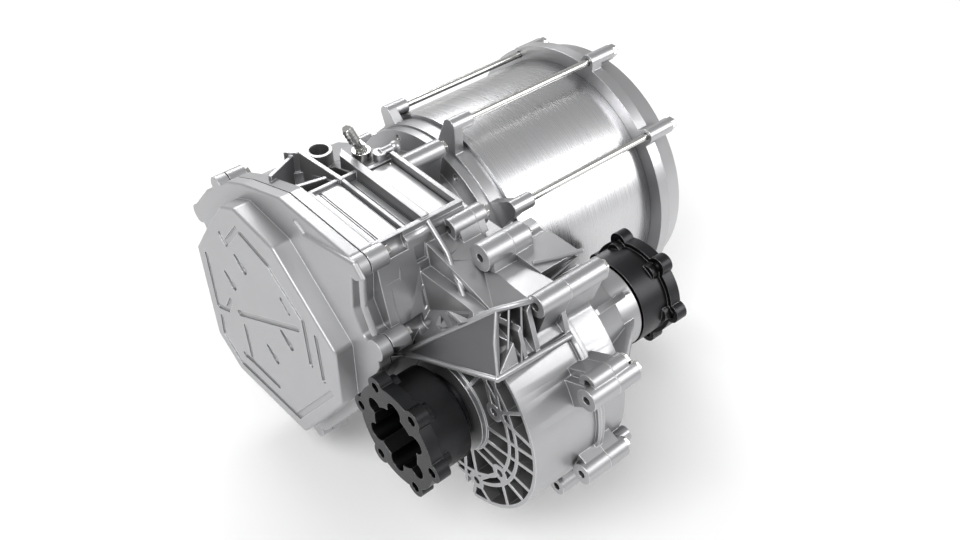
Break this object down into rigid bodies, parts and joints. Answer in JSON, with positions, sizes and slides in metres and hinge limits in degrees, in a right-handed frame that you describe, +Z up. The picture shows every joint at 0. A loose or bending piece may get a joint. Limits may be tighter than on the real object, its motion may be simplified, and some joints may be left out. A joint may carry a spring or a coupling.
{
  "type": "electric drive unit",
  "caption": "Electric drive unit with inverter housing, two-stage reduction gear, differential, brushed motor tube clamped by tie rods, and flanged output joint housings on both sides",
  "frame": {"origin": "centre of the left output joint's flange face", "axes": "+X along the output axis from the left joint to the right joint, +Z up as installed, -Y towards the side the picture is taken from"},
  "size_m": [0.389, 0.4274, 0.3119],
  "materials": {
    "cast_housing": "cast and shot-blasted, machined seats",
    "cover_casting": "fine cast, matt",
    "end_casting": "cast, turned faces",
    "brushed_tube": "brushed around the axis",
    "lid_sheet": "smooth sheet",
    "dark_iron": "dark phosphated, machined faces",
    "case_iron": "cast with turned journals",
    "gear_steel": "ground",
    "bearing_steel": "polished rings",
    "fastener_steel": "zinc plated",
    "seal_rubber": "moulded",
    "lamination_steel": "stacked laminations",
    "winding_copper": "enamelled copper",
    "magnet_alloy": "nickel plated",
    "plate_aluminium": "machined",
    "black_plastic": "moulded",
    "grey_plastic": "moulded",
    "board_laminate": "printed board"
  },
  "bodies": {
    "stationary": {"board_components": "black_plastic", "board_screws": "fastener_steel", "breather_elbow": "end_casting", "control_board": "board_laminate", "coolant_barb": "fastener_steel", "countershaft_bearing_left": "bearing_steel", "countershaft_bearing_right": "bearing_steel", "cover_screws": "fastener_steel", "dc_link_capacitor": "grey_plastic", "deck_lid": "lid_sheet", "deck_lid_screws": "fastener_steel", "differential_bearing_left": "bearing_steel", "differential_bearing_right": "bearing_steel", "gate_driver_board": "board_laminate", "inverter_cover": "cover_casting", "inverter_cover_gasket": "seal_rubber", "main_housing": "cast_housing", "motor_end_bell": "end_casting", "motor_flange_screws": "fastener_steel", "motor_front_flange": "end_casting", "motor_tube": "brushed_tube", "phase_busbars": "winding_copper", "pinion_bearing": "bearing_steel", "power_module_base": "plate_aluminium", "power_modules": "black_plastic", "resolver_stator": "lamination_steel", "right_housing": "cast_housing", "rotor_bearing_front": "bearing_steel", "rotor_bearing_rear": "bearing_steel", "shaft_seal_left": "seal_rubber", "shaft_seal_right": "seal_rubber", "split_screws": "fastener_steel", "stator_core": "lamination_steel", "stator_winding": "winding_copper", "tie_rod_nuts": "fastener_steel", "tie_rods": "fastener_steel"},
    "final_drive": {"differential_case": "case_iron", "ring_gear": "gear_steel", "ring_gear_bolts": "fastener_steel", "cross_pin": "gear_steel"},
    "counter_shaft": {"countershaft": "gear_steel", "countershaft_wheel": "gear_steel"},
    "rotor": {"rotor_shaft": "gear_steel", "input_pinion": "gear_steel", "rotor_core": "lamination_steel", "rotor_magnets": "magnet_alloy", "rotor_plate_front": "plate_aluminium", "rotor_plate_rear": "plate_aluminium", "resolver_rotor": "lamination_steel"},
    "left_output": {"output_joint_left": "dark_iron", "side_gear_left": "gear_steel"},
    "right_output": {"output_joint_right": "dark_iron", "side_gear_right": "gear_steel"},
    "spider_upper": {"spider_gear_upper": "gear_steel"},
    "spider_lower": {"spider_gear_lower": "gear_steel"}
  },
  "joints": [
    {"name": "final_drive_spin", "type": "hinge", "parent": "stationary", "child": "final_drive", "pos_m": [0.11, 0, 0], "axis": [1, 0, 0], "continuous": true},
    {"name": "countershaft_spin", "type": "hinge", "parent": "stationary", "child": "counter_shaft", "pos_m": [0.11, 0.10443, 0.01096], "axis": [1, 0, 0], "continuous": true},
    {"name": "rotor_spin", "type": "hinge", "parent": "stationary", "child": "rotor", "pos_m": [0.28, 0.179, -0.018], "axis": [1, 0, 0], "continuous": true},
    {"name": "left_output_spin", "type": "hinge", "parent": "final_drive", "child": "left_output", "pos_m": [0.05, 0, 0], "axis": [1, 0, 0], "continuous": true},
    {"name": "right_output_spin", "type": "hinge", "parent": "final_drive", "child": "right_output", "pos_m": [0.2, 0, 0], "axis": [1, 0, 0], "continuous": true},
    {"name": "spider_upper_spin", "type": "hinge", "parent": "final_drive", "child": "spider_upper", "pos_m": [0.11, 0, 0.02], "axis": [0, 0, 1], "continuous": true},
    {"name": "spider_lower_spin", "type": "hinge", "parent": "final_drive", "child": "spider_lower", "pos_m": [0.11, 0, -0.02], "axis": [0, 0, 1], "continuous": true}
  ],
  "couplings": [
    {"joint": "countershaft_spin", "follows": "final_drive_spin", "ratio": -3.4211},
    {"joint": "rotor_spin", "follows": "final_drive_spin", "ratio": 10.983},
    {"joint": "right_output_spin", "follows": "left_output_spin", "ratio": -1},
    {"joint": "spider_upper_spin", "follows": "left_output_spin", "ratio": 1.6},
    {"joint": "spider_lower_spin", "follows": "left_output_spin", "ratio": -1.6}
  ]
}
